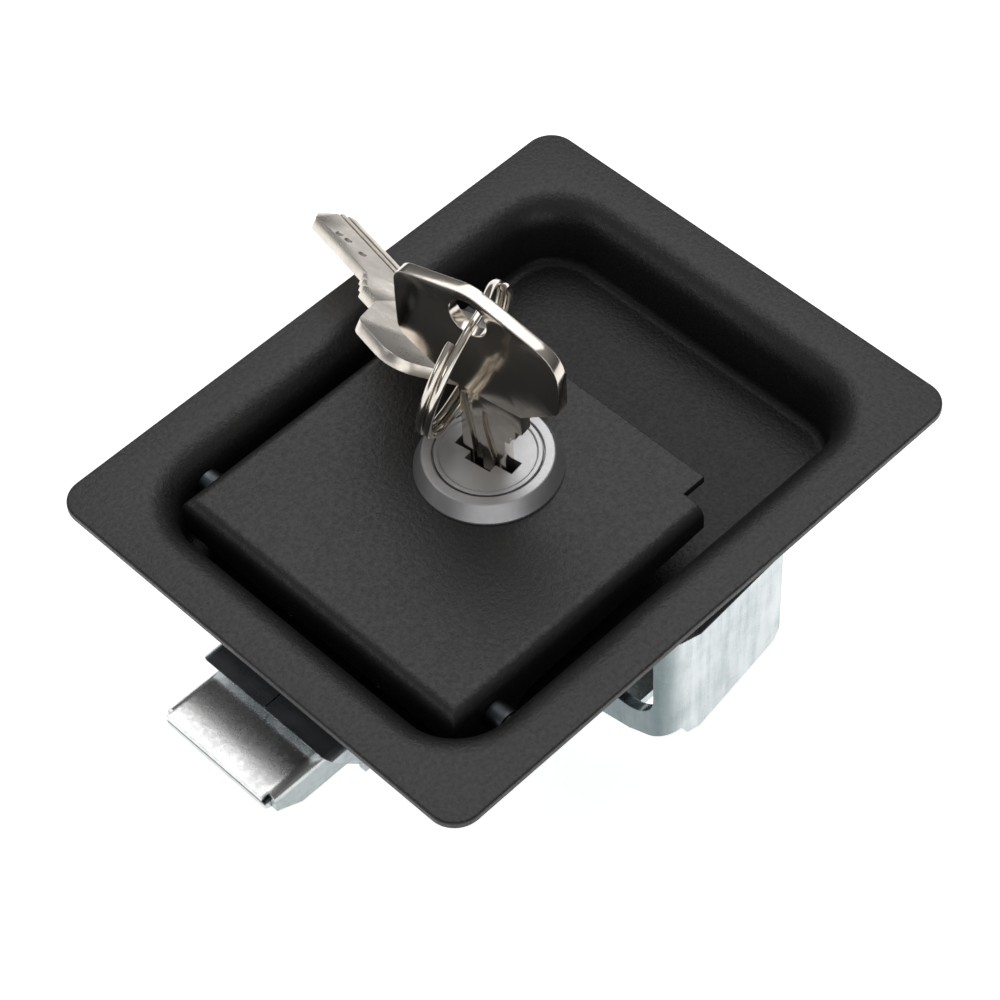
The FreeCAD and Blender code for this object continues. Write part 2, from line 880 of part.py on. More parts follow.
def hexagon(label, flats, height, place):
    part = doc.addObject("Part::Prism", label)
    part.Polygon = 6
    bind(part, "Circumradius", flats + " / 1.7320508")
    bind(part, "Height", height)
    part.Placement = Placement(place, Rotation())
    return part


def make_lock():
    at_lock = Placement(Vector(lock_x, 0, 0), Rotation(Z, -(90 - key_turn)))
    body = new_body("lock_body")
    profile = new_sketch(body, "XZ_Plane")
    draw_outline(
        profile,
        [
            ("plug_bore", "barrel_foot"),
            ("barrel_radius", "barrel_foot"),
            ("barrel_radius", "paddle_top"),
            ("bezel_radius", "paddle_top"),
            ("bezel_radius", "paddle_top + bezel_base"),
            ("bezel_top_radius", "plug_face - plug_rim"),
            ("bezel_top_radius - plug_rim", "plug_face"),
            ("plug_bore + plug_groove", "plug_face"),
            ("plug_bore + plug_groove", "plug_face - plug_groove_depth"),
            ("plug_bore", "plug_face - plug_groove_depth"),
        ],
    )
    revolve(body, profile)
    body.Placement = at_lock

    plug = new_body("lock_plug")
    profile = new_sketch(plug, "XZ_Plane")
    draw_outline(
        profile,
        [
            ("0", "plug_foot"),
            ("plug_radius", "plug_foot"),
            ("plug_radius", "plug_face"),
            ("plug_radius - plug_rim_width", "plug_face"),
            ("plug_radius - plug_rim_width - plug_rim", "plug_face - plug_rim"),
            ("0", "plug_face - plug_rim"),
        ],
    )
    revolve(plug, profile)
    tail = new_sketch(plug, "XY_Plane", "plug_foot")
    draw_rectangle(tail, "-tail_size / 2", "tail_size / 2", "-tail_size / 2", "tail_size / 2")
    pad(tail, "tail_length", reverse=True)
    keyway = new_sketch(plug, "XY_Plane", "plug_face")
    draw_rectangle(
        keyway, "-keyway_length / 2", "keyway_length / 2", "-keyway_width / 2", "keyway_width / 2"
    )
    pocket(keyway, "plug_face - plug_foot - keyway_floor")
    sides = new_sketch(plug, "XY_Plane", "plug_face")
    draw_rectangle(
        sides,
        "-keyway_side_length / 2",
        "keyway_side_length / 2",
        "-keyway_side_width / 2",
        "keyway_side_width / 2",
    )
    pocket(sides, "bezel_height")
    thread = new_sketch(plug, "XY_Plane", "tail_foot")
    draw_circle(thread, "0", "0", "screw_radius")
    pocket(thread, "tail_length + keyway_floor / 2", reverse=True)
    plug.Placement = at_lock

    under = Vector(lock_x, 0, washer_top - washer_sheet)
    disc = cylinder("washer_disc", "washer_radius", "washer_sheet", under)
    bore = cylinder("washer_bore", "lock_hole", "washer_sheet", under)
    cut(disc, bore, "lock_washer")
    low = Vector(lock_x, 0, nut_top - nut_height)
    block = hexagon("nut_block", "nut_flats", "nut_height", low)
    bore = cylinder("nut_bore", "lock_hole", "nut_height", low)
    cut(block, bore, "lock_nut")

    cam = new_body("lock_cam")
    outline = new_sketch(cam, "XY_Plane", "cam_top")
    draw_circle(outline, "0", "0", "cam_radius")
    pad(outline, "cam_sheet", reverse=True)
    arm = new_sketch(cam, "XY_Plane", "cam_top")
    draw_rectangle(arm, "-cam_width / 2", "cam_width / 2", "-cam_reach", "0")
    pad(arm, "cam_sheet", reverse=True)
    fillet(cam, "cam_width / 4", lambda e: upright(e) and lies(e, y=-cam_reach))
    square = new_sketch(cam, "XY_Plane", "cam_top")
    draw_rectangle(square, "-tail_size / 2", "tail_size / 2", "-tail_size / 2", "tail_size / 2")
    pocket(square, "cam_sheet")
    cam.Placement = at_lock

    head_top = Vector(lock_x, 0, cam_foot)
    head = cylinder("screw_head", "screw_head_radius", "screw_head", head_top - Vector(0, 0, screw_head))
    shank = cylinder("screw_shank", "screw_radius", "tail_length", head_top)
    join("cam_screw", [head, shank])


def make_key(label, placement):
    """A flat key drawn in its own XZ plane with its shoulder's middle on the Z axis."""
    body = new_body(label)
    sketch = new_sketch(body, "XZ_Plane")
    draw_outline(
        sketch,
        [
            ("key_tip - key_blade_left", "-key_blade"),
            ("key_blade_right - key_tip", "-key_blade"),
            ("key_blade_right", "key_tip - key_blade"),
            ("key_blade_right", "-key_bitting"),
            ("key_step_near", "-key_bitting"),
            ("key_step_near", "-key_bit_high"),
            ("key_step_mid", "-key_bit_high"),
            ("key_step_mid", "-key_ledge"),
            ("key_step_far", "-key_ledge"),
            ("key_step_far", "0"),
            ("key_head_right", "key_head_low"),
            ("key_head_right", "key_right_side"),
            ("-key_hole_offset", "key_head_top"),
            ("-key_head_left", "key_left_side"),
            ("-key_head_left", "key_head_low"),
            ("-key_neck", "0"),
            ("-key_blade_left", "0"),
            ("-key_blade_left", "key_tip - key_blade"),
        ],
    )
    pad(sketch, "key_sheet", both=True)
    fillet(
        body,
        "key_head_corner",
        lambda e: lies(e, x=-key_head_left) and e.BoundBox.YLength > 1
        or lies(e, x=key_head_right, z=key_head_low),
    )
    fillet(body, "key_slope_corner", lambda e: lies(e, x=key_head_right, z=key_right_side))
    fillet(body, "key_crown_corner", lambda e: lies(e, x=-key_hole_offset, z=key_head_top))
    hole = new_sketch(body, "XZ_Plane")
    draw_circle(hole, "-key_hole_offset", "key_hole_rise", "key_hole_radius")
    pocket(hole, both=True)
    for face, back in (("key_sheet / 2", False), ("-key_sheet / 2", True)):
        grooves = new_sketch(body, "XZ_Plane", face)
        for place in ("key_groove_near", "key_groove_far"):
            draw_rectangle(
                grooves,
                "-" + place + " - key_groove",
                "-" + place,
                "-key_blade - key_groove",
                "-key_groove_top",
            )
        pocket(grooves, "key_groove_depth", reverse=back)
    body.Placement = placement
    return body


def make_keys():
    upright_key = Placement(Vector(lock_x, 0, key_shoulder_z), Rotation(Z, -(90 - key_turn)))
    make_key("key", upright_key)
    lie = Rotation(Vector(-0.81, 0.22, 0.54), Vector(0, 0, 0), Vector(-0.21, -0.97, 0.08), "ZXY")
    make_key("spare_key", Placement(Vector(spare_x, spare_y, spare_z), lie))


def make_ring():
    """A split ring: two turns of round wire that lie side by side."""
    lean = Rotation(Z, Vector(0.266, -0.95, -0.161))
    place = Placement(Vector(ring_x, ring_y, ring_z), lean)
    turns = []
    for side in (-0.5, 0.5):
        section = doc.addObject("Part::RegularPolygon", "ring_section")
        section.Polygon = RING_SIDES
        bind(section, "Circumradius", "ring_wire / 2")
        section.Placement = Placement(Vector(ring_radius, 0, side * ring_pitch), Rotation(X, 90))
        turn = doc.addObject("Part::Revolution", "ring_turn")
        turn.Source = section
        turn.Axis = Z
        turn.Angle = 360
        turn.Solid = True
        turn.Placement = place
        turns.append(turn)
    join("key_ring", turns)


def make_clamp_bracket():
    body = new_body("clamp_bracket")
    plan = new_sketch(body, "XY_Plane", "-clamp_foot")
    draw_rectangle(plan, "clamp_x", "clamp_reach", "-clamp_half", "clamp_half")
    pad(plan, "clamp_foot - clamp_top")
    fillet(body, "clamp_bend", lambda e: upright(e) and lies(e, x=clamp_x, wide_y=clamp_half))
    hollow = new_sketch(body, "XY_Plane", "-clamp_top")
    draw_rectangle(hollow, "clamp_x + clamp_sheet", "clamp_reach", "-clamp_inner", "clamp_inner")
    pocket(hollow, "clamp_foot - clamp_top - clamp_sheet")
    fillet(
        body,
        "clamp_bend - clamp_sheet",
        lambda e: upright(e) and lies(e, x=clamp_x + clamp_sheet, wide_y=clamp_inner),
    )
    shelf = new_sketch(body, "XY_Plane", "-clamp_foot")
    draw_outline(
        shelf,
        [
            ("clamp_x + clamp_sheet", "clamp_shelf_half"),
            ("clamp_x + clamp_shelf", "clamp_shelf_half"),
            ("clamp_x + clamp_shelf", "-clamp_shelf_half"),
            ("clamp_x + clamp_sheet", "-clamp_shelf_half"),
            ("clamp_x + clamp_sheet", "-clamp_inner"),
            ("clamp_x + clamp_leg_start", "-clamp_inner"),
            ("clamp_x + clamp_leg_start", "-clamp_half"),
            ("clamp_reach", "-clamp_half"),
            ("clamp_reach", "clamp_half"),
            ("clamp_x + clamp_leg_start", "clamp_half"),
            ("clamp_x + clamp_leg_start", "clamp_inner"),
            ("clamp_x + clamp_sheet", "clamp_inner"),
        ],
    )
    pocket(shelf, "clamp_sheet", reverse=True)
    window = new_sketch(body, "YZ_Plane", "clamp_x")
    draw_rectangle(
        window,
        "-clamp_window_half",
        "clamp_window_half",
        "clamp_window_foot - clamp_foot",
        "-clamp_top",
    )
    pocket(window, "clamp_bend", reverse=True)
    fillet(
        body,
        "clamp_window_corner",
        lambda e: lies(e, wide_y=clamp_window_half, z=clamp_window_foot - clamp_foot),
    )
    legs = new_sketch(body, "XZ_Plane")
    draw_outline(
        legs,
        [
            ("clamp_x", "-clamp_top"),
            ("clamp_x + clamp_sheet", "-clamp_top"),
            ("clamp_x + clamp_dip_at", "-clamp_top - clamp_dip"),
            ("clamp_reach", "-clamp_top"),
            ("clamp_reach", "clamp_leg_over - clamp_top"),
            ("clamp_x", "clamp_leg_over - clamp_top"),
        ],
    )
    pocket(legs, both=True)
    feet = new_sketch(body, "XZ_Plane")
    draw_outline(
        feet,
        [
            ("clamp_x + clamp_leg_start", "clamp_heel_top - clamp_foot"),
            ("clamp_x + clamp_leg_start + clamp_heel_run", "clamp_heel - clamp_foot"),
            ("clamp_x + clamp_leg_low", "clamp_leg_foot - clamp_foot"),
            ("clamp_reach - clamp_leg_tip", "clamp_leg_foot + clamp_leg_rise - clamp_foot"),
            ("clamp_reach", "clamp_leg_foot + clamp_leg_rise + 2 * clamp_leg_tip - clamp_foot"),
            ("clamp_reach + clamp_leg_over", "clamp_sheet - clamp_foot"),
            ("clamp_x + clamp_leg_start", "clamp_sheet - clamp_foot"),
        ],
    )
    pocket(feet, both=True)
    corners = new_sketch(body, "YZ_Plane", "clamp_x")
    for side in ("", "-"):
        draw_outline(
            corners,
            [
                (side + "clamp_half", "-clamp_foot"),
                (side + "clamp_shoulder", "-clamp_foot"),
                (side + "clamp_shoulder_mid", "clamp_shoulder_rise / 3 - clamp_foot"),
                (side + "clamp_half", "clamp_shoulder_rise - clamp_foot"),
            ],
        )
    pocket(corners, "clamp_bend", reverse=True)
    holes = new_sketch(body, "XY_Plane", "-clamp_foot")
    for side in ("", "-"):
        draw_circle(holes, "stud_inset", side + "stud_spacing / 2", "stud_hole")
    pocket(holes, "clamp_sheet", reverse=True)


def make_bracket_fasteners():
    studs = []
    washers = []
    nuts = []
    for y in (-stud_spacing / 2, stud_spacing / 2):
        foot = Vector(stud_inset, y, stud_foot)
        shank = cylinder("stud_shank", "stud_radius", "stud_length", foot)
        collar_low = Vector(stud_inset, y, floor_under - stud_collar)
        collar = cylinder("stud_collar_disc", "stud_collar_radius", "stud_collar", collar_low)
        stud = doc.addObject("Part::MultiFuse", "stud")
        stud.Shapes = [shank, collar]
        studs.append(stud)
        low = Vector(stud_inset, y, washer_under_shelf)
        disc = cylinder("flat_disc", "flat_washer_radius", "flat_washer", low)
        washers.append(cut(disc, cylinder("flat_bore", "stud_radius", "flat_washer", low)))
        low = low - Vector(0, 0, small_nut)
        block = hexagon("small_nut_block", "small_nut_flats", "small_nut", low)
        nuts.append(cut(block, cylinder("small_nut_bore", "stud_radius", "small_nut", low)))
    join("bracket_studs", studs)
    join("bracket_washers", washers)
    join("bracket_nuts", nuts)


make_pan()
make_paddle()
make_pivot()
make_pull_arms()
make_paddle_spring()
make_housing()
make_rivets()
make_bolt()
make_bolt_ramp()
make_bolt_spring()
make_lock()
make_keys()
make_ring()
make_clamp_bracket()
make_bracket_fasteners()
doc.recompute()

for item in doc.Objects:
    if "Invalid" in item.State or "Error" in item.State:
        raise RuntimeError(item.Label + " failed to build")
for piece in pieces:
    if piece.Shape.isNull() or not piece.Shape.isValid():
        raise RuntimeError(piece.Label + " has no valid shape")

os.makedirs("parts", exist_ok=True)
for piece in pieces:
    piece.Shape.exportStep("parts/%s.step" % piece.Label)
    print(piece.Label, len(piece.Shape.Solids), round(piece.Shape.Volume, 1))
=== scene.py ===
import math

import bmesh
import bpy
from mathutils import Matrix, Vector


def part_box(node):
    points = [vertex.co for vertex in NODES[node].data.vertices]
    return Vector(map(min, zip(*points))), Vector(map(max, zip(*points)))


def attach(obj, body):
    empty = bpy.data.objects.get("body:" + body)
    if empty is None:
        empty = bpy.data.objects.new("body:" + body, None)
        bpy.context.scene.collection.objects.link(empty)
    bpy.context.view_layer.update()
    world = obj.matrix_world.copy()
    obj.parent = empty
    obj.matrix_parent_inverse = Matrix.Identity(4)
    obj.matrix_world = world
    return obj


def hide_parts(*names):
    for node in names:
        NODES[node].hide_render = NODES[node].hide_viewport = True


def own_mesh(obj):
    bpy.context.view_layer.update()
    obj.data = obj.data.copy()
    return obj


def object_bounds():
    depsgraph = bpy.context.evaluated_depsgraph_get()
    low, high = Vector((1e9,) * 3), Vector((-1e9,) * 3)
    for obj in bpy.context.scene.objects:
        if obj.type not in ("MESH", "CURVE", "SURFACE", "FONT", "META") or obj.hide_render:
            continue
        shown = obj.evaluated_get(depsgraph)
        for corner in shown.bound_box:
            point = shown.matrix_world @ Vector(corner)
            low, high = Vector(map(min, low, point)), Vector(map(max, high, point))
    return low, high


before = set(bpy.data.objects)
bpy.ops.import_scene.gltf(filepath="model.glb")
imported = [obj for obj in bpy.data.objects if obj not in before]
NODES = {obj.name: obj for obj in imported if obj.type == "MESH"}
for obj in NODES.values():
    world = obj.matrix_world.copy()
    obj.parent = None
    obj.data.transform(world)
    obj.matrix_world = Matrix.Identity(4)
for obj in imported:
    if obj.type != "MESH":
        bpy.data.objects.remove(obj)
CAD_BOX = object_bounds()
SCENE = bpy.context.scene
MM = 0.001
TURN = 2 * math.pi


# Shading helpers


def new_material(name):
    """A new material with its node tree and its shader."""
    material = bpy.data.materials.new(name)
    material.use_nodes = True
    tree = material.node_tree
    return material, tree, tree.nodes["Principled BSDF"]


def node(tree, kind, **settings):
    """Adds a node; a setting names one of its inputs, or else one of its properties."""
    made = tree.nodes.new(kind)
    for key, value in settings.items():
        if key in made.inputs.keys():
            made.inputs[key].default_value = value
        else:
            setattr(made, key, value)
    return made


def place(tree, stretch=(1, 1, 1)):
    """Object coordinates, stretched so that a streak can run along one axis."""
    coordinates = node(tree, "ShaderNodeTexCoord")
    mapping = node(tree, "ShaderNodeMapping")
    mapping.inputs["Scale"].default_value = stretch
    tree.links.new(coordinates.outputs["Object"], mapping.inputs["Vector"])
    return mapping.outputs["Vector"]


def noise(tree, vector, scale, detail=3.0, roughness=0.55):
    made = node(tree, "ShaderNodeTexNoise", Scale=scale, Detail=detail, Roughness=roughness)
    tree.links.new(vector, made.inputs["Vector"])
    return made.outputs["Fac"]


def spread(tree, value, low, high, from_low=0.3, from_high=0.7):
    """Maps a texture's value to a range."""
    made = node(tree, "ShaderNodeMapRange")
    made.inputs["From Min"].default_value = from_low
    made.inputs["From Max"].default_value = from_high
    made.inputs["To Min"].default_value = low
    made.inputs["To Max"].default_value = high
    tree.links.new(value, made.inputs["Value"])
    return made.outputs["Result"]


def ramp(tree, value, stops):
    """Turns a value into a colour; each stop is (value, colour)."""
    made = node(tree, "ShaderNodeValToRGB")
    elements = made.color_ramp.elements
    while len(elements) < len(stops):
        elements.new(0.5)
    for element, (at, colour) in zip(elements, stops):
        element.position = at
        element.color = (*colour, 1)
    tree.links.new(value, made.inputs["Fac"])
    return made.outputs["Color"]


def bump(tree, shader, heights, rounding=0.0):
    """Adds height textures to the shader's normal; each is (value, depth in metres)."""
    normal = None
    if rounding:
        edge = node(tree, "ShaderNodeBevel", samples=4, Radius=rounding)
        normal = edge.outputs["Normal"]
    for value, depth in heights:
        made = node(tree, "ShaderNodeBump", Strength=1.0, Distance=depth)
        tree.links.new(value, made.inputs["Height"])
        if normal:
            tree.links.new(normal, made.inputs["Normal"])
        normal = made.outputs["Normal"]
    tree.links.new(normal, shader.inputs["Normal"])


def black_powder(name, rounding=0.0, gloss=0.5):
    """Black powder coat with a fine orange-peel surface."""
    material, tree, shader = new_material(name)
    vector = place(tree)
    grain = noise(tree, vector, 3000, 2.0)
    pebble = noise(tree, vector, 1300, 2.0, 0.6)
    cloud = noise(tree, vector, 45, 3.0)
    dark, light = (0.0120, 0.0112, 0.0110), (0.0165, 0.0152, 0.0150)
    colour = ramp(tree, cloud, [(0.3, dark), (0.7, light)])
    tree.links.new(colour, shader.inputs["Base Color"])
    tree.links.new(spread(tree, pebble, 0.34, 0.50), shader.inputs["Roughness"])
    shader.inputs["Specular IOR Level"].default_value = gloss
    bump(tree, shader, [(pebble, 0.00010), (grain, 0.00003)], rounding)
    return material


def along(tree, axis, low, high):
    """A value that grows from 0 to 1 between two places on an axis, in millimetres."""
    coordinates = node(tree, "ShaderNodeTexCoord")
    split = node(tree, "ShaderNodeSeparateXYZ")
    tree.links.new(coordinates.outputs["Object"], split.inputs[0])
    return spread(tree, split.outputs[axis], 0.0, 1.0, low * MM, high * MM)


def shade(tree, shader, fade, tone):
    """Darkens the shader's colour where the value is near 0."""
    tint = ramp(tree, fade, [(0.0, tone), (1.0, (1, 1, 1))])
    mix = node(tree, "ShaderNodeMix", data_type="RGBA", blend_type="MULTIPLY")
    mix.inputs["Factor"].default_value = 1.0
    old = shader.inputs["Base Color"].links[0].from_socket
    tree.links.new(old, mix.inputs[6])
    tree.links.new(tint, mix.inputs[7])
    tree.links.new(mix.outputs[2], shader.inputs["Base Color"])


def plated(
    name,
    dark,
    light,
    rough,
    stretch=(1, 1, 1),
    scale=260,
    depth=0.000012,
    rounding=0.0002,
    fade=None,
):
    """Plated steel or brass: cloudy tone, streaks along the forming direction, fine grain.

    rough is the roughness of the light and of the dark places. fade is (axis, from, to, tone)
    in millimetres and paints shade: it darkens the metal towards its first place.
    """
    material, tree, shader = new_material(name)
    plain = place(tree)
    streak = noise(tree, place(tree, stretch), scale, 4.0)
    cloud = noise(tree, plain, 130, 4.0, 0.6)
    grain = noise(tree, plain, 3200, 2.0)
    total = node(tree, "ShaderNodeMath", operation="ADD")
    tree.links.new(streak, total.inputs[0])
    tree.links.new(cloud, total.inputs[1])
    half = node(tree, "ShaderNodeMath", operation="MULTIPLY")
    half.inputs[1].default_value = 0.5
    tree.links.new(total.outputs[0], half.inputs[0])
    colour = ramp(tree, half.outputs[0], [(0.36, dark), (0.62, light)])
    tree.links.new(colour, shader.inputs["Base Color"])
    if fade:
        axis, low, high, tone = fade
        shade(tree, shader, along(tree, axis, low, high), tone)
    shader.inputs["Metallic"].default_value = 1.0
    tree.links.new(spread(tree, half.outputs[0], rough[1], rough[0]), shader.inputs["Roughness"])
    bump(tree, shader, [(streak, depth), (grain, depth / 3)], rounding)
    return material


def turned(name, dark, light, rough, centre):
    """Satin metal whose fine lines run round an upright axis, given in millimetres."""
    material, tree, shader = new_material(name)
    coordinates = node(tree, "ShaderNodeTexCoord")
    shift = node(tree, "ShaderNodeVectorMath", operation="SUBTRACT")
    shift.inputs[1].default_value = (centre[0] * MM, centre[1] * MM, 0)
    tree.links.new(coordinates.outputs["Object"], shift.inputs[0])
    flat = node(tree, "ShaderNodeVectorMath", operation="MULTIPLY")
    flat.inputs[1].default_value = (1, 1, 0)
    tree.links.new(shift.outputs[0], flat.inputs[0])
    reach = node(tree, "ShaderNodeVectorMath", operation="LENGTH")
    tree.links.new(flat.outputs[0], reach.inputs[0])
    lines = node(tree, "ShaderNodeTexNoise", noise_dimensions="1D", Scale=5200.0, Detail=2.0)
    tree.links.new(reach.outputs["Value"], lines.inputs["W"])
    grain = noise(tree, place(tree), 2600, 3.0)
    cloud = noise(tree, place(tree), 240, 4.0)
    colour = ramp(tree, cloud, [(0.3, dark), (0.7, light)])
    tree.links.new(colour, shader.inputs["Base Color"])
    shader.inputs["Metallic"].default_value = 1.0
    tree.links.new(spread(tree, grain, rough[0], rough[1]), shader.inputs["Roughness"])
    bump(tree, shader, [(lines.outputs["Fac"], 0.0000012), (grain, 0.000004)], 0.00025)
    return material


LOCK = (-4.2, 0.0)
BLACK = black_powder("powder_black", 0.0004)
# A less glossy copy of the black for the well's floor and bend: painted shade in the recess.
SHADED_BLACK = black_powder("powder_black_well_shade", 0.0004, 0.30)
# Near-black steel for the pivot pin and its spacers: painted shade, for the dark gap between the
# paddle and the pan where they sit.
DARK = plated("near_black_steel_shade", (0.05, 0.055, 0.06), (0.10, 0.11, 0.12), (0.30, 0.45))
ZINC = plated("zinc_sheet", (0.30, 0.34, 0.36), (0.46, 0.50, 0.52), (0.18, 0.32))
# The bolt's zinc is darkened towards its lower part, below -16.6 mm: painted shade, a painted dark
# reflection.
BOLT = plated(
    "zinc_bolt",
    (0.64, 0.65, 0.65),
    (0.84, 0.84, 0.83),
    (0.20, 0.34),
    scale=900,
    depth=0.00001,
    fade=("Z", -17.6, -16.6, (0.50, 0.56, 0.57)),
)
# The bracket's web, from X -1 mm towards -5.5 mm and beyond, is painted darker: a painted
# reflection of the shaded floor under the pan.
BRACKET = plated(
    "zinc_bracket",
    (0.46, 0.52, 0.53),
    (0.70, 0.74, 0.75),
    (0.18, 0.34),
    stretch=(1, 1, 0.10),
    scale=600,
    depth=0.00003,
    rounding=0.0003,
    fade=("X", -5.5, -1.0, (0.30, 0.35, 0.36)),
)
# The top of the ramp's front, above -17.9 mm, is painted nearly black: painted shade in the gap
# under the bolt's top.
RAMP = plated(
    "zinc_ramp",
    (0.50, 0.53, 0.53),
    (0.68, 0.71, 0.71),
    (0.14, 0.26),
    scale=900,
    depth=0.00001,
    fade=("Z", -17.9, -18.2, (0.03, 0.035, 0.04)),
)
WIRE = plated("spring_wire", (0.30, 0.30, 0.31), (0.50, 0.50, 0.51), (0.25, 0.40))
NICKEL = plated(
    "key_nickel",
    (0.62, 0.57, 0.51),
    (0.74, 0.69, 0.62),
    (0.10, 0.18),
    scale=500,
    depth=0.000006,
)
# A rougher copy of the key nickel with a paler tone, for the spare key: the paler tone is painted
# light on its face.
PALE_LIT_NICKEL = plated(
    "nickel_painted_light",
    (0.66, 0.61, 0.55),
    (0.78, 0.73, 0.66),
    (0.24, 0.34),
    scale=500,
    depth=0.000008,
)
RING = plated(
    "ring_nickel",
    (0.60, 0.56, 0.50),
    (0.74, 0.69, 0.62),
    (0.10, 0.20),
    scale=300,
    depth=0.000004,
    rounding=0.0,
)
SATIN = turned("satin_silver", (0.55, 0.55, 0.56), (0.62, 0.62, 0.63), (0.42, 0.52), LOCK)

FINISH = {
    "pan": BLACK,
    "paddle": BLACK,
    "pivot_pin": DARK,
    "pivot_spacers": DARK,
    "bolt": BOLT,
    "bolt_ramp": RAMP,
    "clamp_bracket": BRACKET,
    "bolt_spring": WIRE,
    "paddle_spring": WIRE,
    "lock_body": SATIN,
    "lock_plug": SATIN,
    "key": NICKEL,
    "spare_key": NICKEL,
    "key_ring": RING,
}
for name, part in NODES.items():
    part.data.materials.clear()
    part.data.materials.append(FINISH.get(name, ZINC))


# Mesh helpers; they take millimetres


def add_piece(name, mesh, material, body, node_name, sharp=30):
    """Makes a scene object that rides on a body and stands for a node."""
    mesh.transform(Matrix.Scale(MM, 4))
    mesh.name = name
    mesh.materials.clear()
    mesh.materials.append(material)
    mesh.shade_smooth()
    mesh.set_sharp_from_angle(angle=math.radians(sharp))
    piece = bpy.data.objects.new(name, mesh)
    SCENE.collection.objects.link(piece)
    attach(piece, body)
    if node_name:
        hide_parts(node_name)
    return piece


def to_mesh(built):
    """The built shape as a mesh whose faces all look outwards."""
    bmesh.ops.recalc_face_normals(built, faces=built.faces[:])
    mesh = bpy.data.meshes.new("built")
    built.to_mesh(mesh)
    built.free()
    return mesh


def join_meshes(meshes):
    built = bmesh.new()
    for mesh in meshes:
        built.from_mesh(mesh)
        bpy.data.meshes.remove(mesh)
    mesh = bpy.data.meshes.new("joined")
    built.to_mesh(mesh)
    built.free()
    return mesh


def machined(mesh, cutter, bevel=0.0):
    """The mesh with its edges rounded and then a cutter's volume taken away."""
    subject = bpy.data.objects.new("subject", mesh)
    tool = bpy.data.objects.new("tool", cutter)
    for item in (subject, tool):
        SCENE.collection.objects.link(item)
    if bevel:
        edges = subject.modifiers.new("edges", "BEVEL")
        edges.width = bevel
        edges.segments = 3
        edges.limit_method = "ANGLE"
        edges.angle_limit = math.radians(40)
    cut = subject.modifiers.new("cuts", "BOOLEAN")
    cut.operation = "DIFFERENCE"
    cut.solver = "EXACT"
    cut.object = tool
    seen = bpy.context.evaluated_depsgraph_get()
    result = bpy.data.meshes.new_from_object(subject.evaluated_get(seen))
    for item in (subject, tool):
        data = item.data
        bpy.data.objects.remove(item)
        bpy.data.meshes.remove(data)
    return result


def upright(mesh, at):
    """Turns a sheet from the XZ plane to lie flat, or a turned piece to lie along Y."""
    mesh.transform(Matrix.Translation(at) @ Matrix.Rotation(math.radians(90), 4, "X"))
    return mesh


def rounded(corners, steps=8):
    """An outline's points; each corner is (x, y, radius)."""
    points = []
    for i, (x, y, radius) in enumerate(corners):
        here = Vector((x, y))
        if not radius:
            points.append(here)
            continue
        before = (Vector(corners[i - 1][:2]) - here).normalized()
        after = (Vector(corners[(i + 1) % len(corners)][:2]) - here).normalized()
        half = before.angle(after) / 2
        centre = here + (before + after).normalized() * (radius / math.sin(half))
        first = here + before * (radius / math.tan(half)) - centre
        last = here + after * (radius / math.tan(half)) - centre
        start = math.atan2(first.y, first.x)
        sweep = (math.atan2(last.y, last.x) - start + math.pi) % TURN - math.pi
        for k in range(steps + 1):
            angle = start + sweep * k / steps
            points.append(centre + radius * Vector((math.cos(angle), math.sin(angle))))
    return points


def circle(x, y, radius, steps=40):
    angles = [TURN * k / steps for k in range(steps)]
    return [Vector((x + radius * math.cos(a), y + radius * math.sin(a))) for a in angles]


def plate(outline, holes, thickness):
    """A flat sheet in the XZ plane, centred on Y."""
    built = bmesh.new()
    for edge in [outline] + holes:
        corners = [built.verts.new((p.x, -thickness / 2, p.y)) for p in edge]
        for a, b in zip(corners, corners[1:] + corners[:1]):
            built.edges.new((a, b))
    bmesh.ops.triangle_fill(built, use_beauty=True, edges=built.edges[:])
    grown = bmesh.ops.extrude_face_region(built, geom=built.faces[:])
    moved = [item for item in grown["geom"] if isinstance(item, bmesh.types.BMVert)]
    bmesh.ops.translate(built, verts=moved, vec=(0, thickness, 0))
    return to_mesh(built)


def bridge(built, low, high):
    """Faces between two rings of the same number of points."""
    count = len(low)
    for k in range(count):
        n = (k + 1) % count
        built.faces.new((low[k], low[n], high[n], high[k]))


def skin(built, rings):
    """A closed skin over a row of rings, with a face at each end."""
    for low, high in zip(rings, rings[1:]):
        bridge(built, low, high)
    built.faces.new(rings[0])
    built.faces.new(rings[-1])


def tube(path, radius, sides=14):
    """Round wire along a list of points, with slightly rounded ends."""
    built = bmesh.new()
    side = None
    rings = []
    last = len(path) - 1
    for i, point in enumerate(path):
        ahead = (path[min(i + 1, last)] - path[max(i - 1, 0)]).normalized()
        side = side or ahead.orthogonal()
        side = (side - ahead * side.dot(ahead)).normalized()
        up = ahead.cross(side)
        size = radius * (0.8 if i in (0, last) else 1.0)
        ring = []
        for k in range(sides):
            angle = TURN * k / sides
            out = side * math.cos(angle) + up * math.sin(angle)
            ring.append(built.verts.new(point + out * size))
        rings.append(ring)
    skin(built, rings)
    return to_mesh(built)


def lathe(rows, centre, steps=64, shape=None, closed=False):
    """Turns rows of (radius, height) round an upright axis; shape may change a radius."""
    built = bmesh.new()
    rings = []
    for radius, height in rows:
        ring = []
        for k in range(steps):
            angle = TURN * k / steps
            reach = shape(angle, radius, height) if shape else radius
            at = (centre[0] + reach * math.cos(angle), centre[1] + reach * math.sin(angle), height)
            ring.append(built.verts.new(at))
        rings.append(ring)
    if closed:
        for low, high in zip(rings, rings[1:] + rings[:1]):
            bridge(built, low, high)
    else:
        skin(built, rings)
    return to_mesh(built)


def thread_rows(radius, top, foot, pitch, rows_a_turn=6):
    """Rows close enough together for a thread between two heights."""
    count = int((top - foot) / pitch * rows_a_turn)
    return [(radius, top + (foot - top) * k / count) for k in range(count + 1)]


